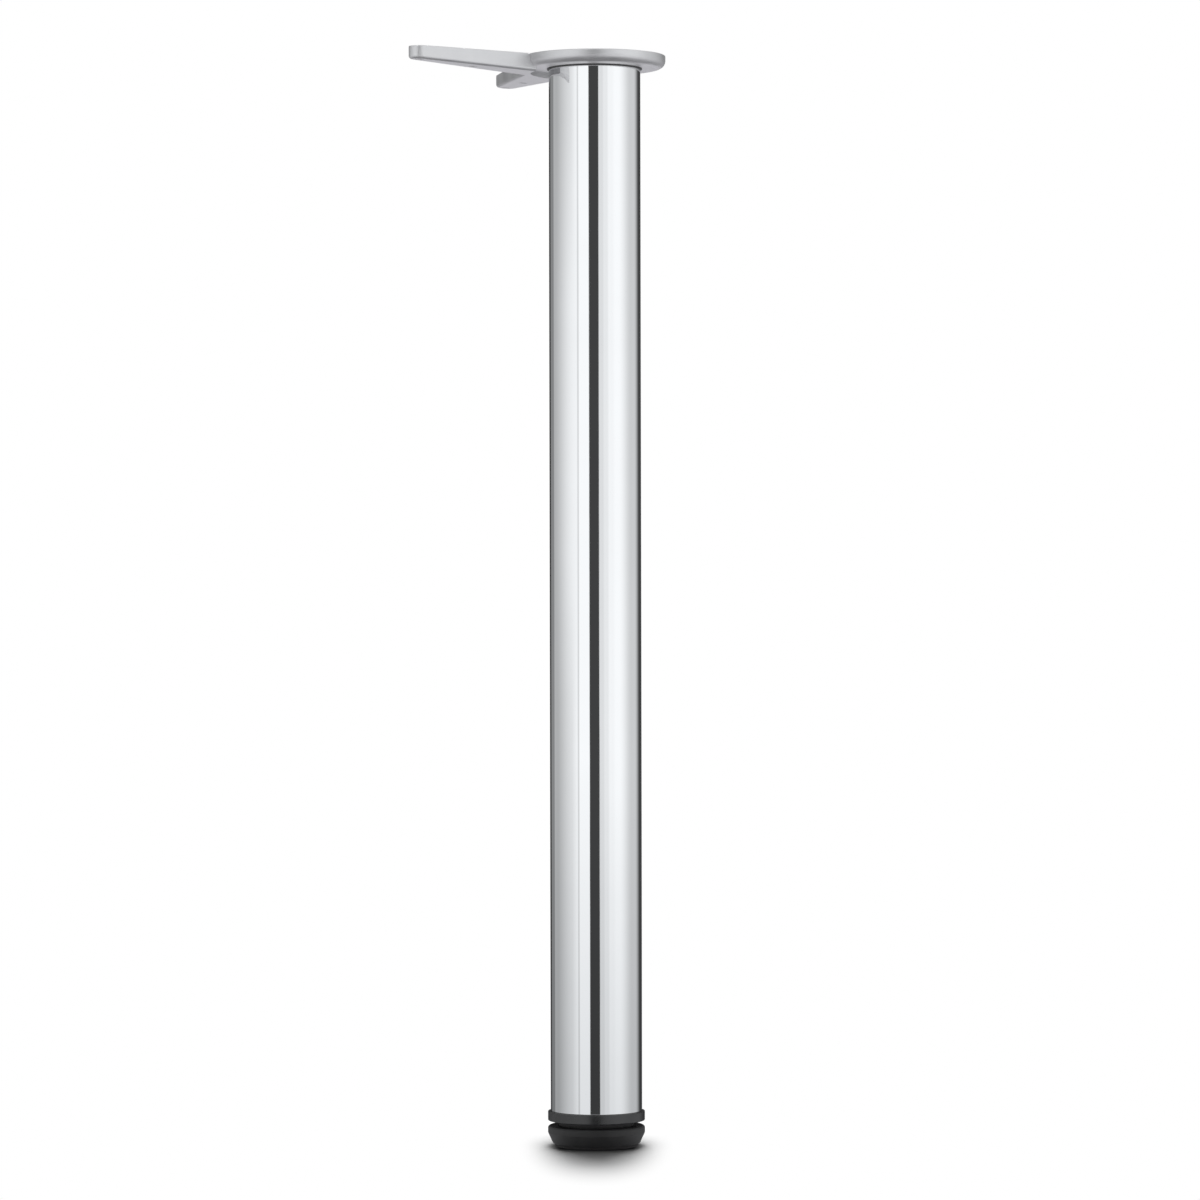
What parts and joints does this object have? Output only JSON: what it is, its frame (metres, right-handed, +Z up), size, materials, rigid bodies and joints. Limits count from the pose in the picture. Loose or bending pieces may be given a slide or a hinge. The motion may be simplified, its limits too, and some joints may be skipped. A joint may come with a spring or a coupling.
{
  "type": "height adjustable table leg",
  "caption": "Round chromed table leg with a wishbone mounting bracket at its top and a screw-adjusted foot that turns on a swivel glide.",
  "frame": {"origin": "centre of the glide pad's underside, on the floor, on the axis of the tube", "axes": "+Z up the tube's axis to the table, -X along the bisector of the bracket's arms"},
  "size_m": [0.1435, 0.195, 0.714],
  "materials": {
    "chromed_steel": "mirror polished chrome plate",
    "cast_aluminium": "fine satin, as cast and coated silver grey",
    "black_plastic": "moulded, satin",
    "zinc_steel": "bright zinc plate",
    "black_rubber": "moulded, matt"
  },
  "bodies": {
    "leg": {"mounting_bracket": "cast_aluminium", "bracket_bolt": "zinc_steel", "top_plug": "black_plastic", "top_nut": "zinc_steel", "leg_tube": "chromed_steel", "foot_insert": "black_plastic", "insert_nut": "zinc_steel"},
    "glide": {"glide_pad": "black_rubber"},
    "foot": {"foot_base": "black_plastic", "spindle": "zinc_steel"}
  },
  "joints": [
    {"name": "foot_height", "type": "slide", "parent": "leg", "child": "glide", "axis": [0, 0, -1], "range_m": [-0.003, 0.021]},
    {"name": "foot_turn", "type": "hinge", "parent": "glide", "child": "foot", "pos_m": [0, 0, 0.01], "axis": [0, 0, -1], "range_deg": [-612, 4320]}
  ],
  "couplings": [
    {"joint": "foot_height", "follows": "foot_turn", "m_per_rad": 0.00027852}
  ]
}
